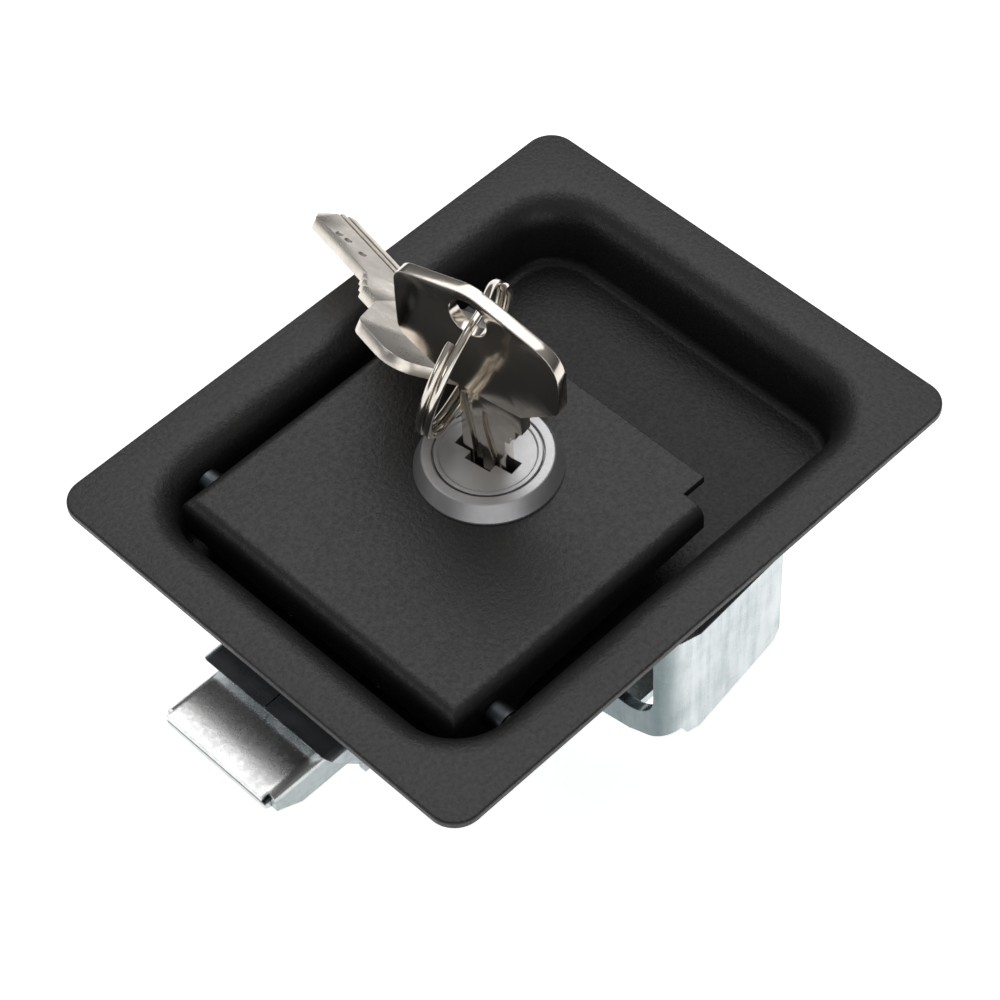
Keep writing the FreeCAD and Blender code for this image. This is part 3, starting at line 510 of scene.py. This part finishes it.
def threaded(outer, top, foot, pitch, depth):
    """A shape that cuts a thread into the part of a turned piece between two heights."""

    def shape(angle, radius, height):
        if abs(radius - outer) > 0.01 or not foot <= height <= top:
            return radius
        phase = (height / pitch - angle / TURN) % 1
        fade = min(1, (top - height) / pitch, (height - foot) / pitch)
        return radius - depth * abs(2 * phase - 1) * max(0, fade)

    return shape


# Pan

# Half sizes of the plate and the well, in millimetres
PLATE = (59.0, 47.5)
PLATE_CORNER = 5.0
PLATE_EDGE = 0.4
WELL = (47.5, 36.0)
WELL_CORNER = 10.0
SHEET = 1.5
CUTTER_HEIGHT = 4.0
ROLL = 6.0
FLOOR = -12.5
FLOOR_BEND = 1.8
FLOOR_MARGIN = 2.88
BEND_STEPS = 8
ARM_SLOT = (-45.0, -25.7)
ARM_SLOT_Y = 10.6
ARM_SLOT_WIDTH = 5.0
SLOT_ROUNDING = 0.99
RIVETS_X = (-29.5, -22.5)
RIVETS_Y = (-19.5, 19.5)
RIVET_RADIUS = 2.0
PIN_AT = (-36.0, 0, -5.0)
PIN_HOLE = 2.05
PIN_HOLE_REACH = 50
SHADE_ABOVE_BEND = 0.2


def loop(half, corner, grow, height, steps=12):
    """A rounded rectangle whose sides and corners are moved outwards by one amount."""
    a, b, c = half[0] + grow, half[1] + grow, corner + grow
    points = []
    for turn, (x, y) in enumerate(((1, 1), (-1, 1), (-1, -1), (1, -1))):
        for k in range(steps + 1):
            angle = (turn + k / steps) * math.pi / 2
            across, up = c * math.cos(angle), c * math.sin(angle)
            points.append((x * (a - c) + across, y * (b - c) + up, height))
    return points


def slot_cutter(x0, x1, y, width):
    """An upright slot through the floor, as a mesh."""
    half = width / 2
    corner = half * SLOT_ROUNDING
    outline = [(x0, y - half, corner), (x1, y - half, corner)]
    outline += [(x1, y + half, corner), (x0, y + half, corner)]
    mesh = plate(rounded(outline), [], CUTTER_HEIGHT)
    return upright(mesh, (0, 0, FLOOR - SHEET / 2))


def make_pan():
    """The pressed pan, in one thickness: a flat rim that rolls over into the well."""
    centre = SHEET - ROLL
    arcs = [k / BEND_STEPS * math.pi / 2 for k in range(BEND_STEPS + 1)]
    loops = [loop(WELL, WELL_CORNER, -FLOOR_MARGIN, FLOOR)]
    for t in reversed(arcs):
        grow = -FLOOR_BEND * (1 - math.cos(t))
        loops.append(loop(WELL, WELL_CORNER, grow, FLOOR + FLOOR_BEND * (1 - math.sin(t))))
    for t in reversed(arcs):
        grow = ROLL * (1 - math.sin(t))
        loops.append(loop(WELL, WELL_CORNER, grow, centre + ROLL * math.cos(t)))
    for t in arcs:
        grow = -PLATE_EDGE * (1 - math.sin(t))
        height = SHEET - PLATE_EDGE * (1 - math.cos(t))
        loops.append(loop(PLATE, PLATE_CORNER, grow, height))
    loops.append(loop(PLATE, PLATE_CORNER, 0.0, PLATE_EDGE / 2))
    loops.append(loop(PLATE, PLATE_CORNER, -PLATE_EDGE / 2, 0.0))
    for t in arcs:
        grow = ROLL - (ROLL - SHEET) * math.sin(t)
        loops.append(loop(WELL, WELL_CORNER, grow, centre + (ROLL - SHEET) * math.cos(t)))
    root = FLOOR_BEND + SHEET
    for t in arcs:
        grow = SHEET - root * (1 - math.cos(t))
        loops.append(loop(WELL, WELL_CORNER, grow, FLOOR + FLOOR_BEND - root * math.sin(t)))
    built = bmesh.new()
    skin(built, [[built.verts.new(point) for point in points] for points in loops])
    cutters = [slot_cutter(*ARM_SLOT, side * ARM_SLOT_Y, ARM_SLOT_WIDTH) for side in (-1, 1)]
    for x in RIVETS_X:
        for y in RIVETS_Y:
            hole = slot_cutter(x - RIVET_RADIUS, x + RIVET_RADIUS, y, 2 * RIVET_RADIUS)
            cutters.append(hole)
    rows = [(PIN_HOLE, -PIN_HOLE_REACH), (PIN_HOLE, PIN_HOLE_REACH)]
    bore = lathe(rows, (0, 0), steps=32)
    cutters.append(upright(bore, PIN_AT))
    mesh = machined(to_mesh(built), join_meshes(cutters))
    add_piece("pan_pressed", mesh, BLACK, "pan", "pan", sharp=35)
    # The well's floor and the lower part of its bend take the less glossy black: painted shade.
    mesh.materials.append(SHADED_BLACK)
    shade_top = (FLOOR + FLOOR_BEND + SHADE_ABOVE_BEND) * MM
    for face in mesh.polygons:
        if face.center.z < shade_top:
            face.material_index = 1


# Keys and ring

KEY_SHEET = 2.2
KEY_EDGE = 0.35

# (x, z, radius) of the ring's hole and of the outline's corners
KEY_HOLE = (-1.5, 17.9, 3.75)
KEY_OUTLINE = [
    (-2.7, -27.7, 0.6),
    (2.9, -27.7, 0.6),
    (4.5, -26.1, 0.6),
    (4.5, -8.6, 0.0),
    (5.6, -8.6, 0.3),
    (5.6, -6.7, 0.0),
    (6.9, -6.7, 0.3),
    (6.9, -4.6, 0.0),
    (8.3, -4.6, 0.3),
    (8.3, 0.0, 0.4),
    (16.0, 5.8, 3.0),
    (16.0, 17.4, 6.5),
    (-1.5, 23.6, 8.0),
    (-16.3, 20.4, 3.0),
    (-16.3, 5.8, 3.0),
    (-6.0, 0.0, 0.6),
    (-4.3, 0.0, 0.3),
    (-4.3, -26.1, 0.6),
]
KEY_AT = (*LOCK, 20.2)
KEY_TURN = math.radians(-81.7)
SPARE_AT = (5.35, 27.38, 11.63)
SPARE_ACROSS = (-0.81, 0.22, 0.54)
SPARE_UP = (-0.21, -0.97, 0.08)
DIMPLES = [(2.7, -20.9), (2.0, -18.9), (1.7, -14.6)]
GROOVES = (-1.8, -3.1)
GROOVE_ENDS = (-3.0, -28.5)
GROOVE_HALF = 0.35
GROOVE_DEPTH = 0.4
TRACK_DEPTH = 0.7

# Each track's line and half its width
TRACKS = [
    ([(-3.0, -1.4), (-2.7, -5.5), (-1.8, -10.5), (-1.2, -15.0), (-1.2, -25.0)], 1.15),
    ([(1.0, -3.6), (0.9, -7.0), (1.7, -11.5), (2.9, -16.0), (3.0, -25.0)], 0.95),
]


def track_cutter(built, line, half, face, depth, steps=5, above=0.6, taper=0.35):
    """A milled track that follows a line on one face of a key; its sides slope inwards."""
    points = [Vector(p) for p in line]
    smooth = []
    for here, there in zip(points, points[1:]):
        smooth += [here.lerp(there, k / steps) for k in range(steps)]
    smooth.append(points[-1])
    last = len(smooth) - 1
    out = face + math.copysign(above, face)
    into = face - math.copysign(depth, face)
    rings = []
    for i, point in enumerate(smooth):
        ahead = (smooth[min(i + 1, last)] - smooth[max(i - 1, 0)]).normalized()
        across = Vector((-ahead.y, ahead.x)) * half
        left, right, slope = point - across, point + across, across * taper
        corners = [(left, out), (right, out), (right - slope, into), (left + slope, into)]
        rings.append([built.verts.new((p.x, y, p.y)) for p, y in corners])
    skin(built, rings)


def pit_cutter(built, x, z, face, rim_radius=0.96, tip_radius=0.32, above=0.3, depth=0.8):
    """A small conical pit in one face of a key."""
    out = face + math.copysign(above, face)
    into = face - math.copysign(depth, face)
    rings = []
    for radius, y in ((rim_radius, out), (tip_radius, into)):
        rings.append([built.verts.new((p.x, y, p.y)) for p in circle(x, z, radius, steps=12)])
    skin(built, rings)


def make_key(name, matrix, body, track_face, material):
    """A flat key with milled tracks on one face, and pits and two grooves on the other."""
    blank = plate(rounded(KEY_OUTLINE, steps=6), [circle(*KEY_HOLE)], KEY_SHEET)
    front = track_face * KEY_SHEET / 2
    built = bmesh.new()
    for line, half in TRACKS:
        track_cutter(built, line, half, front, TRACK_DEPTH)
    for x, z in DIMPLES:
        pit_cutter(built, x, z, -front)
    for x in GROOVES:
        line = [(x, z) for z in GROOVE_ENDS]
        track_cutter(built, line, GROOVE_HALF, -front, GROOVE_DEPTH)
    mesh = machined(blank, to_mesh(built), KEY_EDGE)
    mesh.transform(matrix)
    add_piece(name + "_cut", mesh, material, body, name, sharp=25)


def frame_from(x_hint, z_axis, origin):
    """A matrix whose Z is exact and whose X leans towards a hint."""
    z = Vector(z_axis).normalized()
    x = Vector(x_hint)
    x = (x - z * x.dot(z)).normalized()
    turn = Matrix((x, z.cross(x), z)).transposed()
    return Matrix.Translation(origin) @ turn.to_4x4()


RING_CENTRE = Vector((-3.53, 4.86, 23.7))
RING_AXIS = Vector((0.288, -0.926, -0.203)).normalized()
RING_RADIUS = 13.4
RING_WIRE = 1.46
KEY_HOLE_AT = Vector((-4.416, 1.485, 38.1))

# Where the wire begins and ends, and where it crosses from turn to turn, as angles from the
# key's hole
WIRE_BEGIN = math.radians(22)
WIRE_END = 2 * TURN - math.radians(50)
CROSS_FROM = TURN - math.radians(46)
CROSS_LENGTH = math.radians(44)


def make_ring():
    """A split ring: two turns of one wire, which crosses from turn to turn at the key's hole."""
    towards = KEY_HOLE_AT - RING_CENTRE
    first = (towards - RING_AXIS * towards.dot(RING_AXIS)).normalized()
    second = RING_AXIS.cross(first)
    path = []
    steps = 200
    for k in range(steps + 1):
        angle = WIRE_BEGIN + (WIRE_END - WIRE_BEGIN) * k / steps
        cross = min(1, max(0, (angle - CROSS_FROM) / CROSS_LENGTH))
        ease = cross * cross * (3 - 2 * cross)
        shift = (ease - 0.5) * RING_WIRE
        out = first * math.cos(angle) + second * math.sin(angle)
        path.append(RING_CENTRE + out * RING_RADIUS + RING_AXIS * shift)
    mesh = tube(path, RING_WIRE / 2)
    add_piece("key_ring_wire", mesh, RING, "ring", "key_ring", sharp=50)


# Lock and fastenings

FACE_Z = 4.6
PADDLE_TOP = 1.0
BARREL = 11.0
BARREL_FOOT = -8.5
BARREL_PITCH = 1.0
BARREL_THREAD_TOP = -1.0
BARREL_THREAD_FOOT = BARREL_FOOT + 0.5
BARREL_THREAD_DEPTH = 0.45
PLUG_BORE = 9.18
BEZEL = 12.7
FACE_RIM = 11.25
RECESS = 9.43
RECESS_DEPTH = 0.8
CHAMFER = 0.1


def make_lock_body():
    """The lock's bezel and threaded barrel, with a hollow for the plug."""
    thread = thread_rows(BARREL, BARREL_THREAD_TOP, BARREL_THREAD_FOOT, BARREL_PITCH)
    rows = [
        (PLUG_BORE, BARREL_FOOT),
        (BARREL - 4 * CHAMFER, BARREL_FOOT),
        (BARREL, BARREL_FOOT + 4 * CHAMFER),
        *reversed(thread),
        (BARREL, PADDLE_TOP),
        (BEZEL - CHAMFER, PADDLE_TOP),
        (BEZEL, PADDLE_TOP + CHAMFER),
        (BEZEL, PADDLE_TOP + 0.5),
        (BEZEL - CHAMFER, PADDLE_TOP + 0.65),
        (FACE_RIM + CHAMFER, FACE_Z - 0.35),
        (FACE_RIM, FACE_Z - 0.15),
        (FACE_RIM - 2 * CHAMFER, FACE_Z),
        (RECESS + 0.12, FACE_Z),
        (RECESS, FACE_Z - 0.12),
        (RECESS, FACE_Z - RECESS_DEPTH),
        (PLUG_BORE, FACE_Z - RECESS_DEPTH),
    ]
    shape = threaded(
        BARREL, BARREL_THREAD_TOP, BARREL_THREAD_FOOT, BARREL_PITCH, BARREL_THREAD_DEPTH
    )
    mesh = lathe(rows, LOCK, steps=96, shape=shape, closed=True)
    add_piece(
        "lock_body_turned", mesh, SATIN, "paddle", "lock_body", sharp=25
    )


NUT_TURN = math.pi / 3
NUT_SLOPE = 1.73
NUT_BORE_CHAMFER = 0.4
NUT_LEVELS = [0, 0.12, 0.25, 0.45]
LOCK_NUT_BORE = 11.02
LOCK_NUT_FLATS = 27.0
LOCK_NUT_TOP = -1.1
LOCK_NUT_HEIGHT = 3.5
STUDS_X = 8.0
STUDS_Y = (-15.0, 15.0)
STUD = 2.5
STUD_TOP = -15.0
STUD_FOOT = -50.0
STUD_THREAD_FOOT = STUD_FOOT + 0.5
STUD_PITCH = 0.8
STUD_THREAD_DEPTH = 0.38
STUD_HEAD = 4.0
STUD_HEAD_TOP = STUD_TOP + 1.0
STUD_HEAD_FOOT = STUD_TOP + 0.2
END_RADIUS = 0.8
STUD_NUT_FLATS = 8.0
STUD_NUT_TOP = -44.0
STUD_NUT_HEIGHT = 4.0


def hex_shape(flats, top, foot):
    """A hexagon whose corners are chamfered towards both faces."""
    half = flats / 2

    def shape(angle, radius, height):
        if radius < half - 0.6:
            return radius
        side = (angle + NUT_TURN / 2) % NUT_TURN - NUT_TURN / 2
        chamfer = half - 0.1 + min(top - height, height - foot) * NUT_SLOPE
        return min(half / math.cos(side), chamfer)

    return shape


def nut_mesh(bore, flats, top, height, centre):
    """A hexagon nut with chamfers inside and outside."""
    foot = top - height
    wide = bore + NUT_BORE_CHAMFER
    rows = [(wide, top), (bore, top - NUT_BORE_CHAMFER)]
    rows += [(bore, foot + NUT_BORE_CHAMFER), (wide, foot)]
    levels = NUT_LEVELS + [height / 2] + [height - level for level in reversed(NUT_LEVELS)]
    rows += [(flats / 2, foot + level) for level in levels]
    shape = hex_shape(flats, top, foot)
    return lathe(rows, centre, steps=72, shape=shape, closed=True)


def make_fastenings():
    """The lock's nut, and the bracket's two studs with their nuts."""
    nut = nut_mesh(LOCK_NUT_BORE, LOCK_NUT_FLATS, LOCK_NUT_TOP, LOCK_NUT_HEIGHT, LOCK)
    add_piece("lock_nut_cut", nut, ZINC, "paddle", "lock_nut", sharp=20)
    rows = [
        (END_RADIUS, STUD_HEAD_TOP),
        (STUD_HEAD, STUD_HEAD_TOP),
        (STUD_HEAD, STUD_HEAD_FOOT),
        (STUD, STUD_HEAD_FOOT),
        *thread_rows(STUD, STUD_TOP, STUD_THREAD_FOOT, STUD_PITCH),
        (STUD - 0.5, STUD_FOOT),
        (END_RADIUS, STUD_FOOT),
    ]
    shape = threaded(STUD, STUD_TOP, STUD_THREAD_FOOT, STUD_PITCH, STUD_THREAD_DEPTH)
    studs = []
    nuts = []
    for y in STUDS_Y:
        at = (STUDS_X, y)
        studs.append(lathe(rows, at, steps=28, shape=shape))
        nuts.append(nut_mesh(STUD, STUD_NUT_FLATS, STUD_NUT_TOP, STUD_NUT_HEIGHT, at))
    for name, meshes, sharp in (("bracket_studs", studs, 40), ("bracket_nuts", nuts, 20)):
        add_piece(name + "_cut", join_meshes(meshes), ZINC, "pan", name, sharp)


SHELF_X = (-4.0, 14.5)
SHELF_Y = (24.0, 31.0)
SHELF_Z = -42.0
SHELF_SHEET = 1.96
SHELF_CORNER = 4.0


def make_shelf_wings():
    """The ends of the bracket's shelf, behind its windows."""
    meshes = []
    back, front = SHELF_X
    for side in (-1, 1):
        inner, outer = (side * y for y in SHELF_Y)
        outline = [(back, inner, 0), (front, inner, 0)]
        outline += [(front, outer, SHELF_CORNER), (back, outer, 0)]
        meshes.append(upright(plate(rounded(outline), [], SHELF_SHEET), (0, 0, SHELF_Z)))
    add_piece("shelf_wings", join_meshes(meshes), BRACKET, "pan", None)


SPRING_WIRE = 0.9
SPRING_TURNS = 6.0


def make_bolt_spring():
    """The spring that pushes the bolt out; it shortens when the bolt is drawn back."""
    low, high = (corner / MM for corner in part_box("bolt_spring"))
    radius = (high.y - low.y - SPRING_WIRE) / 2
    middle = (low + high) / 2
    start, length = low.x + SPRING_WIRE / 2, high.x - low.x - SPRING_WIRE
    path = []
    steps = 180
    for k in range(steps + 1):
        angle = TURN * SPRING_TURNS * k / steps
        around = Vector((0, math.cos(angle), math.sin(angle))) * radius
        path.append(Vector((start + length * k / steps, middle.y, middle.z)) + around)
    mesh = tube(path, SPRING_WIRE / 2, sides=10)
    spring = add_piece(
        "bolt_spring_coil", mesh, WIRE, "pan", "bolt_spring", sharp=50
    )
    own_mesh(spring)


SCREW = 1.5
SCREW_MIDDLE = 0.5
SCREW_HEAD = 3.6
SCREW_HEAD_HEIGHT = 1.0

# The head's rounded face: (radius, height over its lowest point)
SCREW_DOME = [(SCREW_HEAD, 0.6), (3.3, 0.25), (2.7, 0.06), (1.6, 0), (SCREW_MIDDLE, 0)]
CROSS_ARM = 1.7
CROSS_HALF = 0.35
CROSS_HEIGHT = 1.4


def make_screw():
    """A pan-headed screw with a cross recess, seen from underneath."""
    foot, top = (corner.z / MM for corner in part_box("cam_screw"))
    shoulder = foot + SCREW_HEAD_HEIGHT
    rows = [(SCREW_MIDDLE, top), (SCREW, top), (SCREW, shoulder), (SCREW_HEAD, shoulder)]
    rows += [(radius, foot + height) for radius, height in SCREW_DOME]
    arm, half = CROSS_ARM, CROSS_HALF
    cross = []
    for x, y in ((-1, -1), (1, -1), (1, 1), (-1, 1)):
        corner = [(arm * x, half * y), (half * x, half * y), (half * x, arm * y)]
        cross += corner if x * y > 0 else reversed(corner)
    cutter = plate([Vector(point) for point in cross], [], CROSS_HEIGHT)
    mesh = machined(lathe(rows, LOCK, steps=40), upright(cutter, (*LOCK, foot)))
    add_piece("cam_screw_cut", mesh, ZINC, "plug", "cam_screw")


# Floor, light and camera

FLOOR_Z = CAD_BOX[0].z - 0.05 * MM
FLOOR_HALF = 3.0
FLOOR_GLOW = 0.78
SKY = [(0.0, (0.20, 0.20, 0.21)), (0.3, (0.40, 0.40, 0.41)), (0.8, (1.0, 1.0, 1.0))]
SKY_STRENGTH = 0.30

# Name, place and size in metres, and power in watts
LIGHTS = [
    ("far_soft", (0.305, 0.34, 0.775), (0.8, 0.8), 3.0),
    ("near_soft", (-0.85, -0.95, 0.28), (1.9, 0.78), 4.9),
    ("left_soft", (-0.80, 0.46, 0.42), (0.30, 0.16), 0.5),
    ("right_soft", (0.46, -0.11, 0.79), (0.34, 0.34), 0.55),
]
CAMERA_AT = (-0.22137, -0.24152, 0.4058)
CAMERA_RIGHT = Vector((0.7055, -0.7076, -0.0392))
CAMERA_AHEAD = Vector((0.4146, 0.4569, -0.7870))
CAMERA_LENS = 112.2
CAMERA_SENSOR = 36.0


def make_floor():
    """The plain white floor that the part stands on."""
    mesh = bpy.data.meshes.new("floor")
    signs = ((-1, -1), (1, -1), (1, 1), (-1, 1))
    corners = [(x * FLOOR_HALF, y * FLOOR_HALF, FLOOR_Z) for x, y in signs]
    mesh.from_pydata(corners, [], [(0, 1, 2, 3)])
    floor = bpy.data.objects.new("floor", mesh)
    SCENE.collection.objects.link(floor)
    material, tree, shader = new_material("floor_white")
    cloud = noise(tree, place(tree), 3.0, 2.0)
    colour = ramp(tree, cloud, [(0.3, (0.91, 0.91, 0.91)), (0.7, (0.93, 0.93, 0.93))])
    tree.links.new(colour, shader.inputs["Base Color"])
    shader.inputs["Roughness"].default_value = 0.9
    shader.inputs["Emission Color"].default_value = (1, 1, 1, 1)
    shader.inputs["Emission Strength"].default_value = FLOOR_GLOW
    mesh.materials.append(material)


def make_light(name, at, size, power):
    """A soft rectangular light that faces the origin."""
    light = bpy.data.lights.new(name, "AREA")
    light.shape = "RECTANGLE"
    light.size, light.size_y = size
    light.energy = power
    lamp = bpy.data.objects.new(name, light)
    SCENE.collection.objects.link(lamp)
    lamp.location = at
    lamp.rotation_euler = (-Vector(at)).to_track_quat("-Z", "Y").to_euler()


def make_world():
    """A soft sky for reflections, with a plain white backdrop behind the part."""
    world = bpy.data.worlds.new("studio")
    world.use_nodes = True
    tree = world.node_tree
    background = tree.nodes["Background"]
    coordinates = node(tree, "ShaderNodeTexCoord")
    split = node(tree, "ShaderNodeSeparateXYZ")
    tree.links.new(coordinates.outputs["Generated"], split.inputs[0])
    sky = ramp(tree, split.outputs["Z"], SKY)
    tree.links.new(sky, background.inputs["Color"])
    background.inputs["Strength"].default_value = SKY_STRENGTH
    backdrop = node(tree, "ShaderNodeBackground", Color=(1, 1, 1, 1), Strength=1.0)
    path = node(tree, "ShaderNodeLightPath")
    seen = node(tree, "ShaderNodeMixShader")
    tree.links.new(path.outputs["Is Camera Ray"], seen.inputs[0])
    tree.links.new(background.outputs[0], seen.inputs[1])
    tree.links.new(backdrop.outputs[0], seen.inputs[2])
    tree.links.new(seen.outputs[0], tree.nodes["World Output"].inputs["Surface"])
    SCENE.world = world


def make_camera():
    """The photograph's camera, solved from the plate's four edges."""
    data = bpy.data.cameras.new("camera")
    data.lens = CAMERA_LENS
    data.sensor_width = CAMERA_SENSOR
    camera = bpy.data.objects.new("camera", data)
    SCENE.collection.objects.link(camera)
    up = CAMERA_RIGHT.cross(CAMERA_AHEAD)
    turn = Matrix((CAMERA_RIGHT, up, -CAMERA_AHEAD)).transposed()
    camera.matrix_world = Matrix.Translation(CAMERA_AT) @ turn.to_4x4()
    SCENE.camera = camera


make_pan()
standing = Matrix.Translation(KEY_AT) @ Matrix.Rotation(KEY_TURN, 4, "Z")
make_key("key", standing, "key", -1, NICKEL)
lying = frame_from(SPARE_ACROSS, SPARE_UP, SPARE_AT)
make_key("spare_key", lying, "spare", 1, PALE_LIT_NICKEL)
make_ring()
make_lock_body()
make_fastenings()
make_shelf_wings()
make_screw()
make_bolt_spring()
make_floor()
for light in LIGHTS:
    make_light(*light)
make_world()
make_camera()
SCENE.view_settings.view_transform = "Standard"
